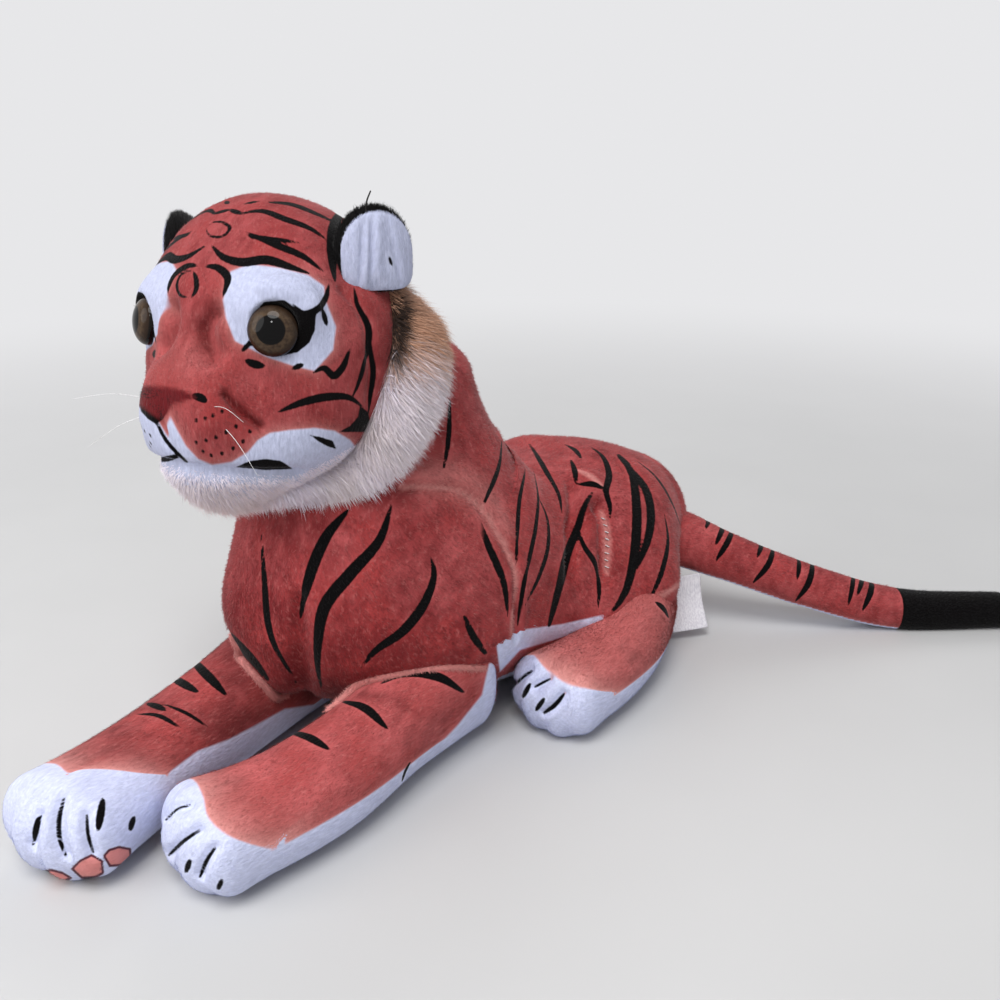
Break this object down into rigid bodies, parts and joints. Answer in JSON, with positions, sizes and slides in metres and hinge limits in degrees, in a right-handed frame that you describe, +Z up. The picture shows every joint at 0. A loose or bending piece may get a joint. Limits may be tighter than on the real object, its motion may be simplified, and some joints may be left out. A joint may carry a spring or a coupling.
{
  "type": "stuffed toy animal",
  "caption": "Stuffed plush tiger toy lying on its belly with raised turning head, folding ears, splaying legs and a long tail laid to one side.",
  "frame": {"origin": "middle of the belly, on the surface that the toy lies on", "axes": "+Z up, nose towards -Y, the toy's left side towards +X"},
  "size_m": [0.2267, 0.3793, 0.1942],
  "materials": {
    "orange_plush": "short pile",
    "pale_plush": "short pile",
    "black_plush": "short pile",
    "long_pile": "long pile",
    "fibre_fill": "loose fibre",
    "eye_plastic": "polished",
    "washer_plastic": "moulded",
    "filament": "clear filament",
    "satin": "woven satin"
  },
  "bodies": {
    "torso": {"torso_skin": "orange_plush", "belly_panel": "pale_plush", "torso_filling": "fibre_fill"},
    "neck": {"neck_filling": "fibre_fill"},
    "head": {"head_skin": "orange_plush", "chin_panel": "pale_plush", "head_filling": "fibre_fill", "ruff_collar": "long_pile", "eye_left": "eye_plastic", "eye_right": "eye_plastic", "eye_washer_left": "washer_plastic", "eye_washer_right": "washer_plastic", "whisker_left_upper": "filament", "whisker_left_lower": "filament", "whisker_right_upper": "filament", "whisker_right_lower": "filament"},
    "ear_left": {"ear_left_back": "black_plush", "ear_left_lining": "pale_plush"},
    "ear_right": {"ear_right_back": "black_plush", "ear_right_lining": "pale_plush"},
    "foreleg_left": {"foreleg_left_skin": "orange_plush", "foreleg_left_lining": "pale_plush", "foreleg_left_filling": "fibre_fill"},
    "foreleg_right": {"foreleg_right_skin": "orange_plush", "foreleg_right_lining": "pale_plush", "foreleg_right_filling": "fibre_fill"},
    "hindleg_left": {"hindleg_left_skin": "orange_plush", "hindleg_left_lining": "pale_plush", "hindleg_left_filling": "fibre_fill"},
    "hindleg_right": {"hindleg_right_skin": "orange_plush", "hindleg_right_lining": "pale_plush", "hindleg_right_filling": "fibre_fill"},
    "tail": {"tail_sleeve": "orange_plush", "tail_underside": "pale_plush", "tail_filling": "fibre_fill"},
    "tail_tip": {"tail_tip_skin": "black_plush", "tail_tip_filling": "fibre_fill"},
    "care_label": {"care_label": "satin"}
  },
  "joints": [
    {"name": "head_turn", "type": "hinge", "parent": "torso", "child": "neck", "pos_m": [-0.00598, -0.077, 0.12], "axis": [0, -0.4226, 0.9063], "range_deg": [-12, 12], "stiffness_Nm_per_rad": 1.2},
    {"name": "head_nod", "type": "hinge", "parent": "neck", "child": "head", "pos_m": [-0.00598, -0.077, 0.12], "axis": [0.9781, 0.2079, 0], "range_deg": [-8, 8], "stiffness_Nm_per_rad": 1.6},
    {"name": "ear_left_fold", "type": "hinge", "parent": "head", "child": "ear_left", "pos_m": [0.02067, -0.09573, 0.17465], "axis": [0.4691, 0.883, -0.0177], "range_deg": [-15, 15], "stiffness_Nm_per_rad": 0.03},
    {"name": "ear_right_fold", "type": "hinge", "parent": "head", "child": "ear_right", "pos_m": [-0.04537, -0.10989, 0.1723], "axis": [0.7872, -0.6136, 0.0625], "range_deg": [-15, 15], "stiffness_Nm_per_rad": 0.03},
    {"name": "foreleg_left_splay", "type": "hinge", "parent": "torso", "child": "foreleg_left", "pos_m": [0.0276, -0.0686, 0.01], "axis": [0, 0, 1], "range_deg": [0, 14], "stiffness_Nm_per_rad": 0.1},
    {"name": "foreleg_right_splay", "type": "hinge", "parent": "torso", "child": "foreleg_right", "pos_m": [-0.0276, -0.0686, 0.01], "axis": [0, 0, 1], "range_deg": [-14, 0], "stiffness_Nm_per_rad": 0.1},
    {"name": "hindleg_left_splay", "type": "hinge", "parent": "torso", "child": "hindleg_left", "pos_m": [0.0414, 0.0348, 0.01], "axis": [0, 0, 1], "range_deg": [0, 14], "stiffness_Nm_per_rad": 0.1},
    {"name": "hindleg_right_splay", "type": "hinge", "parent": "torso", "child": "hindleg_right", "pos_m": [-0.0414, 0.0348, 0.01], "axis": [0, 0, 1], "range_deg": [-14, 0], "stiffness_Nm_per_rad": 0.1},
    {"name": "tail_sway", "type": "hinge", "parent": "torso", "child": "tail", "pos_m": [0.02541, 0.06672, 0.02], "axis": [0, 0, 1], "range_deg": [-4, 30], "stiffness_Nm_per_rad": 0.1},
    {"name": "tail_tip_lift", "type": "hinge", "parent": "tail", "child": "tail_tip", "pos_m": [0.11385, 0.12975, 0.01784], "axis": [0.6887, -0.725, 0], "range_deg": [0, 25], "stiffness_Nm_per_rad": 0.03},
    {"name": "label_lift", "type": "hinge", "parent": "torso", "child": "care_label", "pos_m": [0.04508, 0.0609, 0.02688], "axis": [-0.4695, -0.8829, 0], "range_deg": [0, 45], "stiffness_Nm_per_rad": 0.001}
  ]
}
